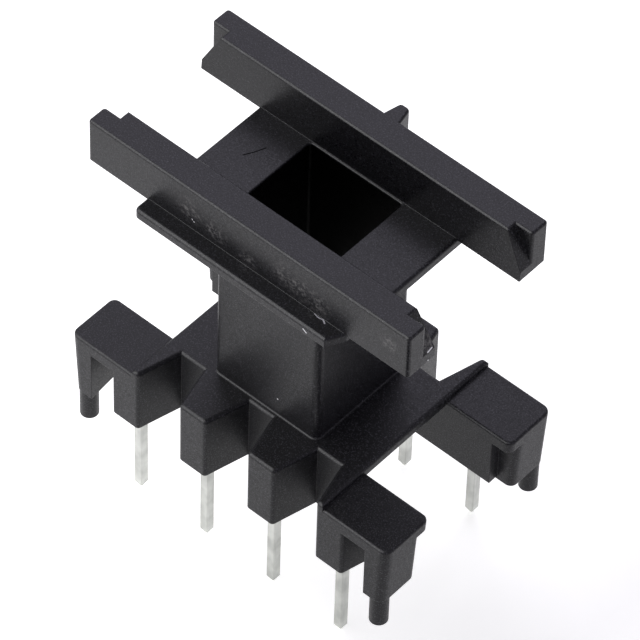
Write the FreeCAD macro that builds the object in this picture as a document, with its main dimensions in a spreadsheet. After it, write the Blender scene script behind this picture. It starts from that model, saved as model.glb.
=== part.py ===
import FreeCAD, Part
import math
import os
import Sketcher

# Coil former of a small ferrite-core transformer, standing upright on eight solder pins.
#
# The former is one moulding: a square winding tube between two flanges, two rows of wedge-shaped
# pin pillars under the lower flange, and two drafted rails over the upper flange that guide the
# core's back. Each pin is a separate square wire pressed into a blind seat in its pillar.
#
# Frame: X runs along the pin rows and the rails, Z is up. The origin is the centre of the pin
# field on the plane of the pin tips. All sizes are in millimetres.

SIZES = {
    # Solder pins
    "pins_per_row": 4,
    "pin_pitch": 5.0,
    "pin_row_spacing": 11.2,
    "pin_width": 0.6,
    "pin_edge_bevel": 0.07,
    "pin_tip_height": 0.4,
    "pin_tip_width": 0.2,
    "pin_tip_bevel": 0.04,
    "pin_free_length": 6.9,
    "pin_seat_depth": 3.5,
    # Pin rows with their pillars, wire slots and inner wall
    "pin_cover": 1.3,
    "channel_width": 6.7,
    "channel_depth": 4.06,
    "row_wall": 0.75,
    "pillar_front_width": 1.9,
    "pillar_back_width": 3.34,
    "pillar_edge_radius": 0.24,
    # Corner blocks: cover plate, end wall and foot
    "pin_to_end": 3.85,
    "row_inset": 1.05,
    "block_drop": 0.36,
    "block_plate": 0.82,
    "block_draft": 0.25,
    "block_corner_radius": 0.55,
    "end_wall_thickness": 1.3,
    "end_wall_gap": 8.1,
    "end_wall_drop": 0.24,
    "gap_corner_radius": 0.45,
    "foot_diameter": 1.1,
    "foot_inset": 0.03,
    "foot_length": 2.3,
    "foot_edge_bevel": 0.14,
    "block_edge_radius": 0.16,
    # Lower flange and winding tube
    "slot_cover": 0.45,
    "flange_thickness": 0.6,
    "flange_edge_radius": 0.22,
    "winding_width": 12.61,
    "tube_width": 7.5,
    "tube_corner_radius": 0.45,
    "tube_root_radius": 0.12,
    "bore_width": 6.1,
    "bore_mouth_width": 6.56,
    "bore_corner_radius": 0.2,
    "bore_mouth_radius": 0.08,
    "bore_foot_radius": 0.15,
    # Upper flange
    "cap_length": 14.1,
    "cap_width": 13.2,
    "cap_thickness": 0.6,
    "cap_corner_radius": 0.35,
    "cap_cut_length": 0.6,
    "cap_cut_width": 1.1,
    "cap_edge_radius": 0.2,
    # Core rails with their lead-in ramps, and the rib that marks one side
    "rail_length": 22.6,
    "rail_height": 2.96,
    "rail_overlap": 0.11,
    "rail_outer_width": 11.1,
    "rail_mouth_width": 7.24,
    "rail_floor_width": 6.78,
    "rail_edge_radius": 0.15,
    "rail_end_radius": 0.2,
    "ramp_length": 1.2,
    "ramp_height": 2.4,
    "ramp_width": 8.5,
    "rib_offset": 0.45,
    "rib_root_width": 1.15,
    "rib_tip_width": 0.65,
    "rib_reach": 1.1,
    "rib_edge_radius": 0.25,
    # How far a cutting outline runs past the face that it opens
    "overrun": 1.0,
}

# Heights over the pin tips
PILLAR_FOOT = "dim.pin_free_length"
WALL_FOOT = "(dim.pin_free_length - dim.end_wall_drop)"
CORE_FLOOR = "(dim.pin_free_length + dim.channel_depth)"
FLANGE_TOP = f"({CORE_FLOOR} + dim.flange_thickness)"
BLOCK_TOP = f"({FLANGE_TOP} - dim.block_drop)"
CAP_FLOOR = f"({FLANGE_TOP} + dim.winding_width)"
CAP_TOP = f"({CAP_FLOOR} + dim.cap_thickness)"
RAIL_FLOOR = f"({CAP_TOP} - dim.rail_overlap)"
RAIL_TOP = f"({CAP_TOP} + dim.rail_height)"

# Distances from the middle of the former
OUTER_PIN = "(dim.pins_per_row - 1) / 2 * dim.pin_pitch"
OUTER_SLOT = "(dim.pins_per_row - 2) / 2 * dim.pin_pitch"
FLANGE_END = f"({OUTER_PIN} - dim.pillar_front_width / 2 + dim.slot_cover)"
SLOT_BACK = "(dim.channel_width / 2 + dim.row_wall)"
FRONT = "(dim.pin_row_spacing / 2 + dim.pin_cover)"
PAST_FRONT = f"({FRONT} + dim.overrun)"
BASE_END = f"({OUTER_PIN} + dim.pin_to_end)"
BLOCK_END = f"({BASE_END} + dim.block_draft)"
ROW_END = f"({BASE_END} - dim.row_inset)"

SIDES = (-1, 1)
TINY = 1e-4

document = FreeCAD.newDocument("coil_former")
sheet = document.addObject("Spreadsheet::Sheet", "dim")
for row, (alias, value) in enumerate(SIZES.items(), start=1):
    sheet.set(f"A{row}", alias)
    sheet.set(f"B{row}", str(value))
    sheet.setAlias(f"B{row}", alias)
document.recompute()


def size(alias):
    """The number in the sheet's cell of this name."""
    return float(sheet.get(alias))


def origin_part(body, role):
    return next(item for item in body.Origin.OriginFeatures if item.Role == role)


def new_sketch(body, name, height="0", role="XY_Plane"):
    """An empty sketch parallel to one of the body's origin planes."""
    sketch = body.newObject("Sketcher::SketchObject", name)
    sketch.AttachmentSupport = [(origin_part(body, role), "")]
    sketch.MapMode = "FlatFace"
    sketch.setExpression("AttachmentOffset.Base.z", height)
    return sketch


def drive(sketch, kind, references, start, formula):
    """Add a dimension to the sketch and tie it to a formula."""
    index = sketch.addConstraint(Sketcher.Constraint(kind, *references, start))
    sketch.setExpression(f"Constraints[{index}]", formula)


def polygon(sketch, corners):
    """Closed outline through the corners, each given as two formulas."""
    first = sketch.GeometryCount
    count = len(corners)
    ring = [
        FreeCAD.Vector(math.cos(math.tau * turn / count), math.sin(math.tau * turn / count), 0) * 10
        for turn in range(count)
    ]
    for index in range(count):
        sketch.addGeometry(Part.LineSegment(ring[index], ring[(index + 1) % count]))
    for index, (across, along) in enumerate(corners):
        line = first + index
        previous = first + (index - 1) % count
        sketch.addConstraint(Sketcher.Constraint("Coincident", previous, 2, line, 1))
        drive(sketch, "DistanceX", (-1, 1, line, 1), ring[index].x, across)
        drive(sketch, "DistanceY", (-1, 1, line, 1), ring[index].y, along)


def rectangle(sketch, left, right, bottom, top):
    polygon(sketch, [(left, bottom), (right, bottom), (right, top), (left, top)])


def bevelled_square(sketch, width, bevel, centre=("0", "0")):
    """Square with its four corners cut off, as the section of a drawn square wire."""
    half = f"dim.{width} / 2"
    short = f"(dim.{width} / 2 - dim.{bevel})"
    ring = ((half, short), (short, half))
    corners = []
    for turn in range(4):
        pair = ring if turn % 2 == 0 else ring[::-1]
        for across, along in pair:
            corners.append((f"{centre[0]} + {corner_sign(turn, 0)} * {across}",
                            f"{centre[1]} + {corner_sign(turn, 1)} * {along}"))
    polygon(sketch, corners)


def rounded_rectangle(sketch, width, depth, radius):
    """Rectangle with equal corner arcs, from the names of its three sizes."""
    reach_x = size(width) / 2
    reach_y = size(depth) / 2
    corner = size(radius)
    first = sketch.GeometryCount
    corner_points = []
    for turn in range(4):
        across = corner_sign(turn, 0) * (reach_x - corner)
        along = corner_sign(turn, 1) * (reach_y - corner)
        corner_points.append(FreeCAD.Vector(across, along, 0))
    for turn, middle in enumerate(corner_points):
        circle = Part.Circle(middle, FreeCAD.Vector(0, 0, 1), corner)
        start = turn * math.pi / 2
        sketch.addGeometry(Part.ArcOfCircle(circle, start, start + math.pi / 2))
        following = corner_points[(turn + 1) % 4]
        outward = FreeCAD.Vector(math.cos(start + math.pi / 2), math.sin(start + math.pi / 2), 0) * corner
        sketch.addGeometry(Part.LineSegment(middle + outward, following + outward))
    for turn in range(4):
        arc = first + 2 * turn
        line = arc + 1
        next_arc = first + (2 * turn + 2) % 8
        sketch.addConstraint(Sketcher.Constraint("Tangent", arc, 2, line, 1))
        sketch.addConstraint(Sketcher.Constraint("Tangent", line, 2, next_arc, 1))
        sketch.addConstraint(Sketcher.Constraint("Vertical" if turn % 2 else "Horizontal", line))
        if turn:
            sketch.addConstraint(Sketcher.Constraint("Equal", first, arc))
    drive(sketch, "Radius", (first,), corner, f"dim.{radius}")
    sides = (("DistanceY", reach_y, f"dim.{depth} / 2"), ("DistanceX", -reach_x, f"-dim.{width} / 2"),
             ("DistanceY", -reach_y, f"-dim.{depth} / 2"), ("DistanceX", reach_x, f"dim.{width} / 2"))
    for turn, (kind, start, formula) in enumerate(sides):
        line = first + 2 * turn + 1
        drive(sketch, kind, (-1, 1, line, 1), start, formula)


def corner_sign(turn, axis):
    """Sign of a corner's X or Y, counted anticlockwise from the first quadrant."""
    return ((1, 1), (-1, 1), (-1, -1), (1, -1))[turn][axis]


def circle(sketch, diameter, centre):
    index = sketch.addGeometry(Part.Circle(FreeCAD.Vector(0, 0, 0), FreeCAD.Vector(0, 0, 1), 1))
    drive(sketch, "Diameter", (index,), 2, diameter)
    drive(sketch, "DistanceX", (-1, 1, index, 3), 0, centre[0])
    drive(sketch, "DistanceY", (-1, 1, index, 3), 0, centre[1])


def pad(body, name, sketch, length, symmetric=False):
    """Solid raised from the sketch, along its normal or to both sides of its plane."""
    feature = body.newObject("PartDesign::Pad", name)
    feature.Profile = sketch
    feature.setExpression("Length", length)
    if symmetric:
        feature.SideType = "Symmetric"
    document.recompute()
    return feature


def pocket(body, name, sketch, length=None, symmetric=False):
    """Cut from the sketch upwards, to a depth or through everything."""
    before = body.Shape.Volume
    feature = body.newObject("PartDesign::Pocket", name)
    feature.Profile = sketch
    if symmetric:
        feature.SideType = "Symmetric"
    else:
        feature.Reversed = True
    if length:
        feature.setExpression("Length", length)
    else:
        feature.Type = "ThroughAll"
    document.recompute()
    if body.Shape.Volume > before - TINY:
        raise RuntimeError(f"{name} removes nothing")
    return feature


def row_pattern(body, name, feature, spacing, occurrences):
    """Repeat a feature along X at even spacing."""
    pattern = body.newObject("PartDesign::LinearPattern", name)
    pattern.Originals = [feature]
    pattern.Direction = (origin_part(body, "X_Axis"), [""])
    pattern.Mode = "Spacing"
    pattern.setExpression("Offset", spacing)
    pattern.setExpression("Occurrences", occurrences)
    body.Tip = pattern
    document.recompute()
    return pattern


def soften(body, name, amount, wanted, kind="Fillet"):
    """Round or bevel the edges of the body that pass a test."""
    base = body.Tip
    edges = [f"Edge{number}" for number, edge in enumerate(base.Shape.Edges, start=1) if wanted(edge)]
    if not edges:
        raise RuntimeError(f"{name} finds no edge")
    feature = body.newObject(f"PartDesign::{kind}", name)
    feature.Base = (base, edges)
    feature.setExpression("Radius" if kind == "Fillet" else "Size", amount)
    document.recompute()
    return feature


def level(edge, height):
    """Whether an edge lies in the level plane at this height."""
    box = edge.BoundBox
    return abs(box.ZMin - height) < TINY and abs(box.ZMax - height) < TINY


def within(edge, reach):
    """Whether an edge stays inside a square of this half width about the middle."""
    box = edge.BoundBox
    return max(abs(box.XMin), abs(box.XMax), abs(box.YMin), abs(box.YMax)) < reach


def highest(body):
    return max(vertex.Z for vertex in body.Shape.Vertexes)


def upright(edge):
    box = edge.BoundBox
    return box.XLength < TINY and box.YLength < TINY


def drafted(edge):
    """Whether an edge climbs an end face, which leans out a little."""
    box = edge.BoundBox
    return box.ZLength > TINY and box.YLength < TINY and abs(box.XLength) < box.ZLength


def make_lower_flange(body):
    sketch = new_sketch(body, "lower_flange_outline", CORE_FLOOR)
    rectangle(sketch, f"-{FLANGE_END}", FLANGE_END, f"-{FRONT}", FRONT)
    return pad(body, "lower_flange", sketch, "dim.flange_thickness")


def make_pin_rows(body):
    """Two bars under the flange's long edges, which the slots then divide into pillars."""
    sketch = new_sketch(body, "pin_row_outlines", PILLAR_FOOT)
    for side in SIDES:
        inner = f"{side} * dim.channel_width / 2"
        rectangle(sketch, f"-{ROW_END}", ROW_END, inner, f"{side} * {FRONT}")
    pad(body, "pin_rows", sketch, f"{BLOCK_TOP} - {PILLAR_FOOT}")


def make_corner_blocks(body):
    """A cover plate and an end wall at each corner, with end faces that lean out upwards."""
    walls = new_sketch(body, "end_wall_outlines", WALL_FOOT)
    plates = new_sketch(body, "cover_plate_outlines", f"{BLOCK_TOP} - dim.block_plate")
    for end in SIDES:
        for side in SIDES:
            outer = (f"{end} * {BLOCK_END}", f"{side} * {FRONT}")
            inner = f"{end} * ({BASE_END} - dim.end_wall_thickness)"
            rectangle(walls, inner, outer[0], f"{side} * dim.end_wall_gap / 2", outer[1])
            inner = f"{end} * {FLANGE_END}"
            rectangle(plates, inner, outer[0], f"{side} * dim.channel_width / 2", outer[1])
    pad(body, "end_walls", walls, f"{BLOCK_TOP} - {WALL_FOOT}")
    pad(body, "cover_plates", plates, "dim.block_plate")
    draft = new_sketch(body, "end_draft_outlines", role="XZ_Plane")
    for end in SIDES:
        past_end = f"{end} * ({BLOCK_END} + dim.overrun)"
        polygon(draft, [(f"{end} * {BASE_END}", WALL_FOOT), (past_end, WALL_FOOT),
                        (past_end, BLOCK_TOP), (f"{end} * {BLOCK_END}", BLOCK_TOP)])
    pocket(body, "end_draft", draft, f"2 * {PAST_FRONT}", symmetric=True)


def cut_wire_slots(body):
    """Wedge slots, open to the front and over their whole height, between neighbouring pins."""
    sketch = new_sketch(body, "wire_slot_outline")
    back = "(dim.pin_pitch - dim.pillar_back_width) / 2"
    front = "(dim.pin_pitch - dim.pillar_front_width) / 2"
    for side in SIDES:
        left = [(f"-{OUTER_SLOT} - {back}", f"{side} * {SLOT_BACK}"),
                (f"-{OUTER_SLOT} - {front}", f"{side} * {FRONT}"),
                (f"-{OUTER_SLOT} - {front}", f"{side} * {PAST_FRONT}")]
        right = [(f"-{OUTER_SLOT} + {front}", f"{side} * {PAST_FRONT}"),
                 (f"-{OUTER_SLOT} + {front}", f"{side} * {FRONT}"),
                 (f"-{OUTER_SLOT} + {back}", f"{side} * {SLOT_BACK}")]
        polygon(sketch, left + right)
    slot = pocket(body, "wire_slot", sketch)
    row_pattern(body, "wire_slots", slot, "dim.pin_pitch", "dim.pins_per_row - 1")


def cut_corner_pockets(body):
    """Blind pockets under the cover plates, between the outermost pillars and the end walls."""
    sketch = new_sketch(body, "corner_pocket_outlines")
    for end in SIDES:
        pillar_front = f"{end} * ({OUTER_PIN} + dim.pillar_front_width / 2)"
        pillar_back = f"{end} * ({OUTER_PIN} + dim.pillar_back_width / 2)"
        wall_front = f"{end} * ({BASE_END} - dim.end_wall_thickness)"
        wall_back = f"{end} * {ROW_END}"
        for side in SIDES:
            polygon(sketch, [(pillar_front, f"{side} * {PAST_FRONT}"),
                             (pillar_front, f"{side} * {FRONT}"),
                             (pillar_back, f"{side} * {SLOT_BACK}"),
                             (wall_back, f"{side} * {SLOT_BACK}"),
                             (wall_front, f"{side} * {FRONT}"),
                             (wall_front, f"{side} * {PAST_FRONT}")])
    pocket(body, "corner_pockets", sketch, f"{BLOCK_TOP} - dim.block_plate")


def round_base_edges(body):
    """The moulding's soft edges, while nothing stands on the lower flange yet."""
    outer_pin = (size("pins_per_row") - 1) / 2 * size("pin_pitch")
    end = outer_pin + size("pin_to_end")
    front = size("pin_row_spacing") / 2 + size("pin_cover")
    gap_sides = (size("end_wall_gap") / 2, size("channel_width") / 2)
    pillar_end = outer_pin + size("pillar_back_width") / 2
    slot_end = outer_pin - size("pillar_front_width") / 2

    def block_corner(edge):
        place = edge.BoundBox.Center
        return drafted(edge) and abs(place.x) > end - TINY and abs(place.y) > front - TINY

    def gap_corner(edge):
        place = edge.BoundBox.Center
        beside_gap = any(abs(abs(place.y) - side) < TINY for side in gap_sides)
        return drafted(edge) and abs(place.x) > end - TINY and beside_gap

    def pillar_edge(edge):
        place = edge.BoundBox.Center
        tall = edge.BoundBox.ZLength > size("flange_thickness")
        return upright(edge) and tall and abs(place.y) > front - TINY and abs(place.x) < pillar_end

    soften(body, "block_corner_rounding", "dim.block_corner_radius", block_corner)
    soften(body, "gap_corner_rounding", "dim.gap_corner_radius", gap_corner)
    soften(body, "pillar_rounding", "dim.pillar_edge_radius", pillar_edge)
    flange_top = highest(body)
    soften(body, "flange_rounding", "dim.flange_edge_radius", lambda edge: level(edge, flange_top))
    block_top = flange_top - size("block_drop")
    step = slot_end + size("slot_cover")

    def block_edge(edge):
        return level(edge, block_top) and abs(edge.BoundBox.Center.x) > step + TINY

    soften(body, "block_rounding", "dim.block_edge_radius", block_edge)


def make_feet(body):
    """A round foot under each corner, just inside the end wall's two outer faces."""
    sketch = new_sketch(body, "foot_outlines", f"{WALL_FOOT} - dim.foot_length")
    for end in SIDES:
        for side in SIDES:
            across = f"{end} * ({BASE_END} - dim.foot_inset - dim.foot_diameter / 2)"
            along = f"{side} * ({FRONT} - dim.foot_inset - dim.foot_diameter / 2)"
            circle(sketch, "dim.foot_diameter", (across, along))
    pad(body, "feet", sketch, "dim.foot_length")
    foot_end = min(vertex.Z for vertex in body.Shape.Vertexes)
    soften(body, "foot_bevels", "dim.foot_edge_bevel", lambda edge: level(edge, foot_end), "Chamfer")


def cut_pin_seats(body):
    sketch = new_sketch(body, "pin_seat_outline")
    for side in SIDES:
        centre = (f"-{OUTER_PIN}", f"{side} * dim.pin_row_spacing / 2")
        bevelled_square(sketch, "pin_width", "pin_edge_bevel", centre)
    seat = pocket(body, "pin_seat", sketch, f"{PILLAR_FOOT} + dim.pin_seat_depth")
    row_pattern(body, "pin_seats", seat, "dim.pin_pitch", "dim.pins_per_row")


def make_winding_tube(body):
    sketch = new_sketch(body, "tube_outline", CORE_FLOOR)
    rounded_rectangle(sketch, "tube_width", "tube_width", "tube_corner_radius")
    pad(body, "winding_tube", sketch, f"{CAP_TOP} - {CORE_FLOOR}")


def make_upper_flange(body):
    """The upper flange, with one corner cut off beside the rail's end."""
    sketch = new_sketch(body, "upper_flange_outline", CAP_FLOOR)
    rounded_rectangle(sketch, "cap_length", "cap_width", "cap_corner_radius")
    pad(body, "upper_flange", sketch, "dim.cap_thickness")
    corner = new_sketch(body, "flange_corner_outline", CAP_FLOOR)
    past_end = "dim.cap_length / 2 + dim.overrun"
    past_side = "-dim.cap_width / 2 - dim.overrun"
    cut_start = "dim.cap_length / 2 - dim.cap_cut_length"
    cut_end = "-dim.cap_width / 2 + dim.cap_cut_width"
    polygon(corner, [(cut_start, past_side), (past_end, past_side), (past_end, cut_end),
                     ("dim.cap_length / 2", cut_end), (cut_start, "-dim.cap_width / 2")])
    pocket(body, "flange_corner_cut", corner)
    top = highest(body)
    soften(body, "upper_flange_rounding", "dim.cap_edge_radius", lambda edge: level(edge, top))


def round_tube_roots(body):
    """The small fillets where the winding tube meets the two flanges."""
    flange_top = highest(body) - size("cap_thickness") - size("winding_width")
    cap_floor = highest(body) - size("cap_thickness")
    reach = size("tube_width") / 2 + TINY

    def tube_root(edge):
        return within(edge, reach) and (level(edge, flange_top) or level(edge, cap_floor))

    soften(body, "tube_root_rounding", "dim.tube_root_radius", tube_root)


def make_rails(body):
    """Two rails whose inner faces open upwards, cut back by a ramp at each end."""
    section = new_sketch(body, "rail_section", role="YZ_Plane")
    for side in SIDES:
        outer = f"{side} * dim.rail_outer_width / 2"
        polygon(section, [(outer, RAIL_FLOOR), (outer, RAIL_TOP),
                          (f"{side} * dim.rail_mouth_width / 2", RAIL_TOP),
                          (f"{side} * dim.rail_floor_width / 2", RAIL_FLOOR)])
    pad(body, "rails", section, "dim.rail_length", symmetric=True)
    ramps = new_sketch(body, "ramp_outlines", role="XZ_Plane")
    for end in SIDES:
        rail_end = f"{end} * dim.rail_length / 2"
        polygon(ramps, [(f"{end} * (dim.rail_length / 2 - dim.ramp_length)", RAIL_TOP),
                        (rail_end, f"{RAIL_TOP} - dim.ramp_height"),
                        (f"{end} * (dim.rail_length / 2 + dim.overrun)", f"{RAIL_TOP} - dim.ramp_height"),
                        (f"{end} * (dim.rail_length / 2 + dim.overrun)", f"{RAIL_TOP} + dim.overrun"),
                        (f"{end} * (dim.rail_length / 2 - dim.ramp_length)", f"{RAIL_TOP} + dim.overrun")])
    pocket(body, "ramps", ramps, "dim.ramp_width", symmetric=True)


def make_rib(body):
    """The single upright rib on one rail that shows which side is pin one's."""
    sketch = new_sketch(body, "rib_outline", CAP_FLOOR)
    root = "dim.rail_outer_width / 2"
    tip = f"{root} + dim.rib_reach"
    polygon(sketch, [("dim.rib_offset - dim.rib_root_width / 2", f"{root} - dim.rail_overlap"),
                     ("dim.rib_offset + dim.rib_root_width / 2", f"{root} - dim.rail_overlap"),
                     ("dim.rib_offset + dim.rib_root_width / 2", root),
                     ("dim.rib_offset + dim.rib_tip_width / 2", tip),
                     ("dim.rib_offset - dim.rib_tip_width / 2", tip),
                     ("dim.rib_offset - dim.rib_root_width / 2", root)])
    pad(body, "orientation_rib", sketch, f"{RAIL_TOP} - {CAP_FLOOR}")


def round_rail_edges(body):
    """The rib's upright edges, those of the rail ends, then all edges along the top."""
    rail_end = size("rail_length") / 2
    rail_floor = highest(body) - size("rail_height")
    rib_face = size("rail_outer_width") / 2 + size("rib_reach")

    def above_cap(edge):
        return upright(edge) and edge.BoundBox.ZMax > rail_floor

    def rib_corner(edge):
        return above_cap(edge) and edge.BoundBox.Center.y > rib_face - TINY

    def rail_corner(edge):
        return above_cap(edge) and abs(edge.BoundBox.Center.x) > rail_end - TINY

    soften(body, "rib_rounding", "dim.rib_edge_radius", rib_corner)
    soften(body, "rail_end_rounding", "dim.rail_end_radius", rail_corner)
    rail_top = highest(body)
    soften(body, "rail_rounding", "dim.rail_edge_radius", lambda edge: level(edge, rail_top))


def cut_bore(body):
    """The square bore for the core's middle leg, drafted so that it opens upwards."""
    foot = new_sketch(body, "bore_foot_outline", CORE_FLOOR)
    rounded_rectangle(foot, "bore_width", "bore_width", "bore_corner_radius")
    mouth = new_sketch(body, "bore_mouth_outline", CAP_TOP)
    rounded_rectangle(mouth, "bore_mouth_width", "bore_mouth_width", "bore_corner_radius")
    document.recompute()
    bore = body.newObject("PartDesign::SubtractiveLoft", "bore")
    bore.Profile = foot
    bore.Sections = [mouth]
    bore.Ruled = True
    document.recompute()
    cap_top = highest(body)
    core_floor = size("pin_free_length") + size("channel_depth")
    reach = size("bore_mouth_width") / 2 + TINY

    def rim(height):
        return lambda edge: level(edge, height) and within(edge, reach)

    soften(body, "bore_mouth_rounding", "dim.bore_mouth_radius", rim(cap_top))
    soften(body, "bore_foot_rounding", "dim.bore_foot_radius", rim(core_floor))


def make_coil_former():
    body = document.addObject("PartDesign::Body", "coil_former")
    body.Label = "coil_former"
    make_lower_flange(body)
    make_pin_rows(body)
    make_corner_blocks(body)
    cut_wire_slots(body)
    cut_corner_pockets(body)
    round_base_edges(body)
    make_feet(body)
    cut_pin_seats(body)
    make_winding_tube(body)
    make_upper_flange(body)
    round_tube_roots(body)
    cut_bore(body)
    make_rails(body)
    make_rib(body)
    round_rail_edges(body)
    return body


def make_pin(number, across, side):
    """A square wire pin with a pointed tip, from the tip plane to the end of its seat."""
    body = document.addObject("PartDesign::Body", f"pin_{number}")
    body.Label = f"pin_{number}"
    body.setExpression("Placement.Base.x", f"{across} * dim.pin_pitch")
    body.setExpression("Placement.Base.y", f"{side} * dim.pin_row_spacing / 2")
    point = new_sketch(body, f"pin_{number}_point")
    bevelled_square(point, "pin_tip_width", "pin_tip_bevel")
    section = new_sketch(body, f"pin_{number}_section", "dim.pin_tip_height")
    bevelled_square(section, "pin_width", "pin_edge_bevel")
    document.recompute()
    tip = body.newObject("PartDesign::AdditiveLoft", f"pin_{number}_tip")
    tip.Profile = point
    tip.Sections = [section]
    shaft = new_sketch(body, f"pin_{number}_shaft_section", "dim.pin_tip_height")
    bevelled_square(shaft, "pin_width", "pin_edge_bevel")
    pad(body, f"pin_{number}_shaft", shaft, f"{PILLAR_FOOT} + dim.pin_seat_depth - dim.pin_tip_height")
    return body


def check_and_export(bodies):
    """Stop on any failed object or bad solid, then write one file for each piece."""
    document.recompute()
    for item in document.Objects:
        if "Invalid" in item.State or "Error" in item.State:
            raise RuntimeError(f"{item.Name} is {item.State}")
    for body in bodies:
        if body.Shape.isNull() or not body.Shape.isValid():
            raise RuntimeError(f"{body.Label} has no valid solid")
    os.makedirs("parts", exist_ok=True)
    for body in bodies:
        body.Shape.exportStep(f"parts/{body.Label}.step")
        print(body.Label, len(body.Shape.Solids), "solid", round(body.Shape.Volume, 3), "mm3")


pieces = [make_coil_former()]
pins_per_row = int(size("pins_per_row"))
for place in range(2 * pins_per_row):
    across = place % pins_per_row - (pins_per_row - 1) / 2
    pieces.append(make_pin(place + 1, across, SIDES[place // pins_per_row]))
check_and_export(pieces)
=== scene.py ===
import bpy
import math
from mathutils import Matrix, Vector

bl_info = {
    "name": "Coil former",
    "version": (1, 0, 0),
    "blender": (4, 5, 0),
    "location": "3D View > Sidebar > Coil former",
    "description": "Finishes and studio for the coil former of a small ferrite-core transformer",
    "category": "Object",
}

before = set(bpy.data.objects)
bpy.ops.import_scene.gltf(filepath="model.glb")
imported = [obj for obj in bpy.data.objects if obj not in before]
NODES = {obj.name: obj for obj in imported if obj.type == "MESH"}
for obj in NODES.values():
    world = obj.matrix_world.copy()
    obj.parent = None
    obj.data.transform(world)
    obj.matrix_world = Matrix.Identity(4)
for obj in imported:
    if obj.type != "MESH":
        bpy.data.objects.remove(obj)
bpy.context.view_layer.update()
MM = 0.001

# Wear, dirt and painted glints, in millimetres on the former's own axes: the two ends of each line and its
# width
SCRATCHES = (((-5.32, 0.15, 24.77), (-5.0, 0.75, 24.77), 0.09),
             ((-5.0, 0.75, 24.77), (-4.75, 1.36, 24.77), 0.08))
LINT_AND_GLINTS = (((4.87, -5.6, 24.79), (5.24, -5.66, 24.77), 0.07),
        ((5.24, -5.66, 24.77), (5.5, -5.6, 24.77), 0.07),
        ((5.5, -5.6, 24.77), (5.72, -5.74, 24.77), 0.09),
        # Painted glint: a painted highlight along the front edge of the upper flange
        ((4.99, -6.58, 24.5), (5.2, -6.6, 24.36), 0.1),
        ((0.9, -3.75, 12.82), (0.92, -3.75, 12.84), 0.1),
        ((-3.81, -5.55, 25.52), (-3.77, -5.55, 25.48), 0.07),
        ((-3.68, -5.55, 25.42), (-3.65, -5.55, 25.39), 0.07),
        ((-6.9, -4.6, 11.2), (-6.86, -4.66, 11.2), 0.07),
        ((5.02, -3.75, 20.7), (5.04, -3.75, 20.73), 0.06),
        # Painted glints: painted highlights at the foot of the front rail's ramp
        ((11.28, -3.98, 25.37), (11.26, -3.62, 25.43), 0.09),
        ((11.3, -3.95, 24.75), (11.3, -3.9, 24.5), 0.08))
# The middle of each patch and how far it reaches: rubbed patches on the front rail, and last a lighter patch
# at the foot of its ramp
SCUFFS = (((2.8, -5.55, 26.1), 1.1),
          ((3.8, -5.55, 25.9), 1.3),
          ((4.9, -5.55, 25.7), 1.2),
          ((0.1, -5.55, 25.3), 0.8),
          ((-2.2, -5.55, 25.8), 1.0),
          ((-3.9, -5.55, 26.1), 1.1),
          ((9.9, -5.55, 26.4), 0.8),
          ((11.2, -3.8, 25.6), 1.1))

# The bore's walls: reach from the middle, and the heights between which they run
BORE_REACH = 3.4 * MM
BORE_FOOT = 11.1 * MM
BORE_MOUTH = 24.65 * MM
# Where the floor's glow starts to fade on its way towards +X, and where it has faded
GLOW_START = -5 * MM
GLOW_END = 18 * MM
# Height of the black card over the floor
CARD_LIFT = 0.2 * MM
# Middle of the part's height, which the lights face
LIGHT_AIM = Vector((0, 0, 12 * MM))


class MouldingSettings(bpy.types.PropertyGroup):
    """Colour and surface of the black moulding."""
    colour: bpy.props.FloatVectorProperty(
        name="Resin colour", description="Colour of the moulding compound",
        subtype="COLOR", size=3, min=0, max=1, default=(0.0035, 0.0034, 0.0040))
    bloom: bpy.props.FloatVectorProperty(
        name="Bloom colour", description="Paler skin where the moulded surface scatters light",
        subtype="COLOR", size=3, min=0, max=1, default=(0.0060, 0.0058, 0.0073))
    roughness: bpy.props.FloatProperty(
        name="Roughness", description="Middle roughness of the moulded skin",
        min=0, max=1, default=0.34, subtype="FACTOR")
    lower_roughness: bpy.props.FloatProperty(
        name="Lower roughness", description="Roughness added at the base, none at the upper flange",
        min=0, max=0.5, default=0.07, subtype="FACTOR")
    specular: bpy.props.FloatProperty(
        name="Specular", description="Mirror strength of the moulded skin",
        min=0, max=1, default=0.22, subtype="FACTOR")
    grain: bpy.props.FloatProperty(
        name="Grain", description="Size of the tool's spark-erosion grain",
        default=0.09 * MM, unit="LENGTH")
    edge_radius: bpy.props.FloatProperty(
        name="Edge radius", description="Radius seen on edges that the moulding leaves sharp",
        default=0.06 * MM, unit="LENGTH")
    speckle: bpy.props.FloatVectorProperty(
        name="Speckle colour", description="Pale specks of filler in the moulded skin",
        subtype="COLOR", size=3, min=0, max=1, default=(0.046, 0.046, 0.051))
    scuff: bpy.props.FloatVectorProperty(
        name="Scuff colour", description="Grey of the rubbed patches on the front rail",
        subtype="COLOR", size=3, min=0, max=1, default=(0.12, 0.117, 0.112))
    # This white also paints the glints, painted highlights on the flange edge and on the ramp
    dust_and_glint: bpy.props.FloatVectorProperty(
        name="Dust colour", description="White of the dust, lint and glinting chips",
        subtype="COLOR", size=3, min=0, max=1, default=(0.7, 0.7, 0.7))


class PinSettings(bpy.types.PropertyGroup):
    """Colour and surface of the tinned pins."""
    colour: bpy.props.FloatVectorProperty(
        name="Tin colour", description="Colour of the tin coat",
        subtype="COLOR", size=3, min=0, max=1, default=(0.54, 0.55, 0.52))
    roughness: bpy.props.FloatProperty(
        name="Roughness", description="Roughness of the tin coat",
        min=0, max=1, default=0.38, subtype="FACTOR")


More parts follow.
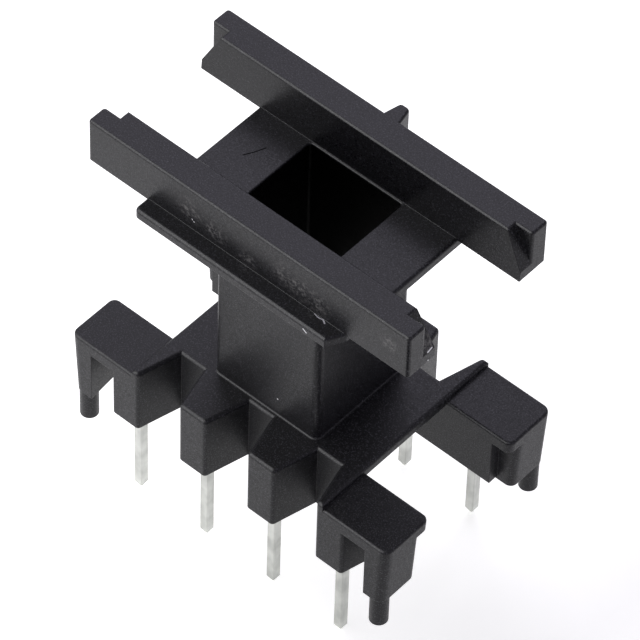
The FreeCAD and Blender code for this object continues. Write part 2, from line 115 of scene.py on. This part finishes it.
class StageSettings(bpy.types.PropertyGroup):
    """Floor, lights and camera."""
    floor_colour: bpy.props.FloatVectorProperty(
        name="Floor colour", description="Colour of the pale floor",
        subtype="COLOR", size=3, min=0, max=1, default=(0.93, 0.94, 0.86))
    floor_glow: bpy.props.FloatProperty(
        name="Floor glow", description="Light that the floor gives off, as a light table does",
        min=0, max=10, default=0.86)
    side_glow: bpy.props.FloatProperty(
        name="Side glow", description="Share of the glow that remains on the floor's +X side",
        min=0, max=1, default=0.4, subtype="FACTOR")
    sky_colour: bpy.props.FloatVectorProperty(
        name="Sky colour", description="Tint of the soft light all round",
        subtype="COLOR", size=3, min=0, max=2, default=(0.96, 0.93, 1.08))
    sky_strength: bpy.props.FloatProperty(
        name="Sky strength", description="Strength of the soft light all round",
        min=0, max=10, default=0.58)
    floor_size: bpy.props.FloatProperty(
        name="Floor size", description="Side of the square floor",
        default=1.6, unit="LENGTH")
    card_distance: bpy.props.FloatProperty(
        name="Card distance", description="Middle of the black card from the middle of the floor",
        default=51 * MM, unit="LENGTH")
    card_length: bpy.props.FloatProperty(
        name="Card length", description="Reach of the black card towards the camera",
        default=58 * MM, unit="LENGTH")
    card_width: bpy.props.FloatProperty(
        name="Card width", description="Width of the black card",
        default=27 * MM, unit="LENGTH")
    azimuth: bpy.props.FloatProperty(
        name="Azimuth", description="Camera's turn from the -Y side towards +X",
        default=math.radians(40.044), subtype="ANGLE")
    elevation: bpy.props.FloatProperty(
        name="Elevation", description="Camera's height over the horizon",
        default=math.radians(49.719), subtype="ANGLE")
    roll: bpy.props.FloatProperty(
        name="Roll", description="Camera's turn about its own axis",
        default=math.radians(1.932), subtype="ANGLE")
    distance: bpy.props.FloatProperty(
        name="Distance", description="Camera to the point it looks at",
        default=303.245 * MM, unit="LENGTH")
    aim: bpy.props.FloatVectorProperty(
        name="Aim", description="Point in the middle of the picture",
        subtype="TRANSLATION", size=3, unit="LENGTH", default=(-1.579 * MM, 2.564 * MM, 12.0 * MM))
    focal_length: bpy.props.FloatProperty(
        name="Focal length", description="Lens for a sensor 36 mm wide, in millimetres", default=309.0)


def set_inputs(node, **values):
    """Set unlinked inputs of a node by their names, with spaces written as underscores."""
    for name, value in values.items():
        node.inputs[name.replace("_", " ")].default_value = value


def new_material(name):
    """A material with an empty tree but for its output and shader."""
    material = bpy.data.materials.new(name)
    material.use_nodes = True
    tree = material.node_tree
    tree.nodes.clear()
    output = tree.nodes.new("ShaderNodeOutputMaterial")
    shader = tree.nodes.new("ShaderNodeBsdfPrincipled")
    tree.links.new(shader.outputs["BSDF"], output.inputs["Surface"])
    return material, tree, shader


def add_noise(tree, scale, detail=2.0, roughness=0.5):
    """Noise on object coordinates, its scale in cycles for each metre."""
    place = tree.nodes.new("ShaderNodeTexCoord")
    noise = tree.nodes.new("ShaderNodeTexNoise")
    set_inputs(noise, Scale=scale, Detail=detail, Roughness=roughness)
    tree.links.new(place.outputs["Object"], noise.inputs["Vector"])
    return noise


def add_range(tree, source, low, high, start=0.35, end=0.65):
    """Map what lies between start and end onto a range that it never leaves."""
    spread = tree.nodes.new("ShaderNodeMapRange")
    set_inputs(spread, From_Min=start, From_Max=end, To_Min=low, To_Max=high)
    tree.links.new(source, spread.inputs["Value"])
    return spread.outputs["Result"]


def add_mix(tree, amount, first, second):
    """Blend two colours by an amount from another node."""
    mix = tree.nodes.new("ShaderNodeMix")
    mix.data_type = "RGBA"
    # A mix node has one pair of inputs for each data type; these are the colours'
    for socket, colour in ((mix.inputs[6], first), (mix.inputs[7], second)):
        if isinstance(colour, bpy.types.NodeSocket):
            tree.links.new(colour, socket)
        else:
            socket.default_value = (*colour, 1)
    tree.links.new(amount, mix.inputs[0])
    return mix.outputs[2]


def add_math(tree, operation, first, second):
    """A value worked out from two others, each a number or a socket."""
    node = tree.nodes.new("ShaderNodeMath")
    node.operation = operation
    for socket, value in zip(node.inputs, (first, second)):
        if isinstance(value, bpy.types.NodeSocket):
            tree.links.new(value, socket)
        else:
            socket.default_value = value
    return node.outputs["Value"]


def add_vector_math(tree, operation, first, second):
    """A vector operation on a socket and a vector or another socket."""
    node = tree.nodes.new("ShaderNodeVectorMath")
    node.operation = operation
    tree.links.new(first, node.inputs[0])
    if isinstance(second, bpy.types.NodeSocket):
        tree.links.new(second, node.inputs[1])
    else:
        node.inputs[1].default_value = second
    return node


def add_split(tree, place):
    """The three coordinates of a place, by the names of their axes."""
    split = tree.nodes.new("ShaderNodeSeparateXYZ")
    tree.links.new(place, split.inputs["Vector"])
    return split.outputs


def add_streak(tree, place, start, end, width):
    """Mask of a short line on the surface, from its two ends and its width in millimetres."""
    start, end = Vector(start) * MM, Vector(end) * MM
    along = end - start
    offset = add_vector_math(tree, "SUBTRACT", place, start).outputs["Vector"]
    share = add_vector_math(tree, "DOT_PRODUCT", offset, along / along.length_squared).outputs["Value"]
    share = add_range(tree, share, 0, 1, 0, 1)
    nearest = tree.nodes.new("ShaderNodeVectorMath")
    nearest.operation = "SCALE"
    nearest.inputs[0].default_value = along
    tree.links.new(share, nearest.inputs["Scale"])
    distance = add_vector_math(tree, "DISTANCE", offset, nearest.outputs["Vector"]).outputs["Value"]
    return add_range(tree, distance, 1, 0, width / 3 * MM, width / 2 * MM)


def add_streaks(tree, place, streaks):
    """Mask of all of these lines together."""
    mask = 0.0
    for start, end, width in streaks:
        mask = add_math(tree, "MAXIMUM", mask, add_streak(tree, place, start, end, width))
    return mask


def make_moulding_material(settings):
    """Black phenolic: clouded skin, fine tool grain, soft edges, the wear of handling, painted glints, and
    painted shade on the bore's walls.
    """
    material, tree, shader = new_material("black phenolic")
    place = tree.nodes.new("ShaderNodeTexCoord").outputs["Object"]
    clouds = add_noise(tree, 260, detail=3)
    grain = add_noise(tree, 1 / settings.grain, detail=2, roughness=0.6)
    specks = add_noise(tree, 1.1 / settings.grain, detail=1)
    haze = add_range(tree, clouds.outputs["Fac"], 0.15, 0.75)
    colour = add_mix(tree, haze, settings.colour, settings.bloom)
    speckled = add_range(tree, specks.outputs["Fac"], 0, 1, 0.53, 0.75)
    colour = add_mix(tree, speckled, colour, settings.speckle)
    scuffed = add_scuffs(tree, place)
    colour = add_mix(tree, scuffed, colour, settings.scuff)
    # White lint and dust specks, and painted glints that stand in for highlights
    colour = add_mix(tree, add_streaks(tree, place, LINT_AND_GLINTS), colour, settings.dust_and_glint)
    # Scratches are real dark wear; the bore's walls are painted black without gloss, as painted shade
    scratches_and_bore_shade = add_math(tree, "MAXIMUM", add_streaks(tree, place, SCRATCHES), add_bore_painted_shade(tree, place))
    colour = add_mix(tree, scratches_and_bore_shade, colour, (0.0, 0.0, 0.0))
    tree.links.new(scratches_and_bore_shade, shader.inputs["Metallic"])
    tree.links.new(colour, shader.inputs["Base Color"])
    rough = add_range(tree, grain.outputs["Fac"], settings.roughness - 0.08, settings.roughness + 0.12)
    rough = add_math(tree, "ADD", rough, add_math(tree, "MULTIPLY", scuffed, 0.2))
    height = add_split(tree, place)["Z"]
    coarse = add_range(tree, height, settings.lower_roughness, 0, BORE_FOOT, BORE_MOUTH)
    rough = add_math(tree, "ADD", rough, coarse)
    tree.links.new(rough, shader.inputs["Roughness"])
    shader.inputs["Specular IOR Level"].default_value = settings.specular
    bevel = tree.nodes.new("ShaderNodeBevel")
    bevel.samples = 6
    set_inputs(bevel, Radius=settings.edge_radius)
    bump = tree.nodes.new("ShaderNodeBump")
    set_inputs(bump, Strength=0.3, Distance=0.012 * MM)
    relief = add_math(tree, "ADD", grain.outputs["Fac"], add_math(tree, "MULTIPLY", scuffed, 0.6))
    tree.links.new(relief, bump.inputs["Height"])
    tree.links.new(bevel.outputs["Normal"], bump.inputs["Normal"])
    tree.links.new(bump.outputs["Normal"], shader.inputs["Normal"])
    return material


def add_scuffs(tree, place):
    """Mask of the patches on the front rail: rubbed ones, and a lighter one at the foot of its ramp."""
    rub = add_noise(tree, 4200, detail=5, roughness=0.75)
    rubbed = add_range(tree, rub.outputs["Fac"], 0, 1, 0.48, 0.64)
    patches = 0.0
    for middle, reach in SCUFFS:
        distance = add_vector_math(tree, "DISTANCE", place, Vector(middle) * MM).outputs["Value"]
        patch = add_range(tree, distance, 1, 0, reach * 0.3 * MM, reach * MM)
        patches = add_math(tree, "MAXIMUM", patches, patch)
    return add_math(tree, "MULTIPLY", rubbed, patches)


def add_bore_painted_shade(tree, place):
    """Mask of the walls inside the bore, painted black and without gloss as painted shade."""
    axes = add_split(tree, place)
    sides = [add_math(tree, "ABSOLUTE", axes[axis], 0.0) for axis in "XY"]
    inside = add_math(tree, "LESS_THAN", add_math(tree, "MAXIMUM", *sides), BORE_REACH)
    above = add_math(tree, "GREATER_THAN", axes["Z"], BORE_FOOT)
    below = add_math(tree, "LESS_THAN", axes["Z"], BORE_MOUTH)
    return add_math(tree, "MULTIPLY", inside, add_math(tree, "MULTIPLY", above, below))


def make_pin_material(settings):
    """Tinned steel wire: satin metal, drawn along its length."""
    material, tree, shader = new_material("tinned wire")
    place = tree.nodes.new("ShaderNodeTexCoord")
    stretch = tree.nodes.new("ShaderNodeMapping")
    set_inputs(stretch, Scale=(1, 1, 0.12))
    tree.links.new(place.outputs["Object"], stretch.inputs["Vector"])
    draw = tree.nodes.new("ShaderNodeTexNoise")
    set_inputs(draw, Scale=5200, Detail=3)
    tree.links.new(stretch.outputs["Vector"], draw.inputs["Vector"])
    blotch = add_noise(tree, 900, detail=2)
    dull = tuple(part * 0.72 for part in settings.colour)
    colour = add_mix(tree, add_range(tree, blotch.outputs["Fac"], 0, 1), settings.colour, dull)
    tree.links.new(colour, shader.inputs["Base Color"])
    shader.inputs["Metallic"].default_value = 1
    rough = add_range(tree, draw.outputs["Fac"], settings.roughness - 0.08, settings.roughness + 0.1)
    tree.links.new(rough, shader.inputs["Roughness"])
    bump = tree.nodes.new("ShaderNodeBump")
    set_inputs(bump, Strength=0.3, Distance=0.004 * MM)
    tree.links.new(draw.outputs["Fac"], bump.inputs["Height"])
    tree.links.new(bump.outputs["Normal"], shader.inputs["Normal"])
    return material


def make_floor_material(settings):
    """Pale matt card with a barely visible tooth, lit from below and less so towards +X."""
    material, tree, shader = new_material("pale card")
    tooth = add_noise(tree, 1500, detail=2)
    shade = tuple(part * 0.985 for part in settings.floor_colour)
    colour = add_mix(tree, add_range(tree, tooth.outputs["Fac"], 0, 1), settings.floor_colour, shade)
    tree.links.new(colour, shader.inputs["Base Color"])
    shader.inputs["Roughness"].default_value = 0.9
    shader.inputs["Emission Color"].default_value = (1, 1, 1, 1)
    place = tree.nodes.new("ShaderNodeTexCoord").outputs["Object"]
    faded = settings.floor_glow * settings.side_glow
    glow = add_range(tree, add_split(tree, place)["X"], settings.floor_glow, faded, GLOW_START, GLOW_END)
    tree.links.new(glow, shader.inputs["Emission Strength"])
    return material


def look_matrix(place, back, roll):
    """Matrix of something at a place that faces away from a direction, turned about it."""
    right = Vector((0, 0, 1)).cross(back).normalized()
    up = back.cross(right)
    turned_right = right * math.cos(roll) + up * math.sin(roll)
    turned_up = back.cross(turned_right)
    turn = Matrix((turned_right, turned_up, back)).transposed()
    return Matrix.Translation(place) @ turn.to_4x4()


def direction(azimuth, elevation):
    """Unit vector from the object, azimuth 0 towards -Y and 90 degrees towards +X."""
    level = math.cos(elevation)
    return Vector((math.sin(azimuth) * level, -math.cos(azimuth) * level, math.sin(elevation)))


def add_softbox(name, azimuth, elevation, distance, size, power, colour=(1, 1, 1)):
    """A square area light that faces the object, its angles in degrees; it becomes the active object."""
    back = direction(math.radians(azimuth), math.radians(elevation))
    bpy.ops.object.light_add(type="AREA")
    light = bpy.context.object
    light.name = name
    light.data.shape = "SQUARE"
    light.data.size = size
    light.data.energy = power
    light.data.color = colour
    light.matrix_world = look_matrix(LIGHT_AIM + back * distance, back, 0)


class COILFORMER_OT_moulding(bpy.types.Operator):
    """Give the moulding its black phenolic finish"""
    bl_idname = "coilformer.moulding"
    bl_label = "Moulding finish"

    def execute(self, context):
        moulding = NODES["coil_former"]
        moulding.data.materials.clear()
        moulding.data.materials.append(make_moulding_material(context.scene.moulding_settings))
        return {"FINISHED"}


class COILFORMER_OT_pins(bpy.types.Operator):
    """Give the solder pins their tinned finish"""
    bl_idname = "coilformer.pins"
    bl_label = "Pin finish"

    def execute(self, context):
        tin = make_pin_material(context.scene.pin_settings)
        for name, node in NODES.items():
            if name.startswith("pin_"):
                node.data.materials.clear()
                node.data.materials.append(tin)
        return {"FINISHED"}


class COILFORMER_OT_stage(bpy.types.Operator):
    """Set up the pale floor, the soft lights and the camera"""
    bl_idname = "coilformer.stage"
    bl_label = "Stage"

    def execute(self, context):
        settings = context.scene.stage_settings
        bpy.ops.object.select_all(action="DESELECT")
        bpy.ops.mesh.primitive_plane_add(size=settings.floor_size, location=(0, 0, 0))
        floor = context.object
        floor.name = "floor"
        floor.data.materials.append(make_floor_material(settings))
        add_softbox("back_box", azimuth=214, elevation=42, distance=0.5, size=0.36, power=0.76,
                    colour=settings.sky_colour)
        # Shows as the bright line along top edges and leaves matt surfaces as they are
        add_softbox("front_box", azimuth=-36, elevation=40, distance=0.5, size=0.66, power=8)
        context.object.visible_diffuse = False
        self.add_dark_card(settings)
        world = bpy.data.worlds.new("studio air")
        world.use_nodes = True
        background = world.node_tree.nodes["Background"]
        background.inputs["Color"].default_value = (*settings.sky_colour, 1)
        background.inputs["Strength"].default_value = settings.sky_strength
        context.scene.world = world
        self.add_camera(context.scene, settings)
        context.scene.view_settings.view_transform = "Standard"
        return {"FINISHED"}

    def add_dark_card(self, settings):
        """A black card on the floor towards the camera, seen only in the gloss of upright edges."""
        towards_camera = direction(settings.azimuth, 0)
        bpy.ops.mesh.primitive_plane_add(size=1, location=towards_camera * settings.card_distance)
        card = bpy.context.object
        card.name = "dark_card"
        card.scale = (settings.card_width, settings.card_length, 1)
        card.rotation_euler = (0, 0, settings.azimuth)
        card.location.z = CARD_LIFT
        material, tree, shader = new_material("black card")
        set_inputs(shader, Base_Color=(0, 0, 0, 1), Roughness=1, Specular_IOR_Level=0)
        card.data.materials.append(material)
        card.visible_camera = False
        card.visible_diffuse = False
        card.visible_shadow = False

    def add_camera(self, scene, settings):
        back = direction(settings.azimuth, settings.elevation)
        bpy.ops.object.camera_add()
        camera = bpy.context.object
        camera.name = "photo_camera"
        camera.data.sensor_width = 36
        camera.data.lens = settings.focal_length
        camera.data.clip_start = 0.01
        camera.data.clip_end = 10
        place = Vector(settings.aim) + back * settings.distance
        camera.matrix_world = look_matrix(place, back, settings.roll)
        scene.camera = camera


class COILFORMER_PT_panel(bpy.types.Panel):
    """Sizes, colours and operators of the coil former"""
    bl_idname = "COILFORMER_PT_panel"
    bl_label = "Coil former"
    bl_space_type = "VIEW_3D"
    bl_region_type = "UI"
    bl_category = "Coil former"

    def draw(self, context):
        for group_name, operator in STEPS:
            box = self.layout.box()
            settings = getattr(context.scene, group_name)
            for name in settings.__annotations__:
                box.prop(settings, name)
            box.operator(operator)


STEPS = (("moulding_settings", "coilformer.moulding"),
         ("pin_settings", "coilformer.pins"),
         ("stage_settings", "coilformer.stage"))
GROUPS = {"moulding_settings": MouldingSettings, "pin_settings": PinSettings, "stage_settings": StageSettings}
CLASSES = (MouldingSettings, PinSettings, StageSettings, COILFORMER_OT_moulding,
           COILFORMER_OT_pins, COILFORMER_OT_stage, COILFORMER_PT_panel)


def register():
    for item in CLASSES:
        bpy.utils.register_class(item)
    for name, group in GROUPS.items():
        setattr(bpy.types.Scene, name, bpy.props.PointerProperty(type=group))


def unregister():
    for name in GROUPS:
        delattr(bpy.types.Scene, name)
    for item in reversed(CLASSES):
        bpy.utils.unregister_class(item)


def main():
    register()
    bpy.ops.coilformer.moulding()
    bpy.ops.coilformer.pins()
    bpy.ops.coilformer.stage()


if __name__ == "__main__":
    main()
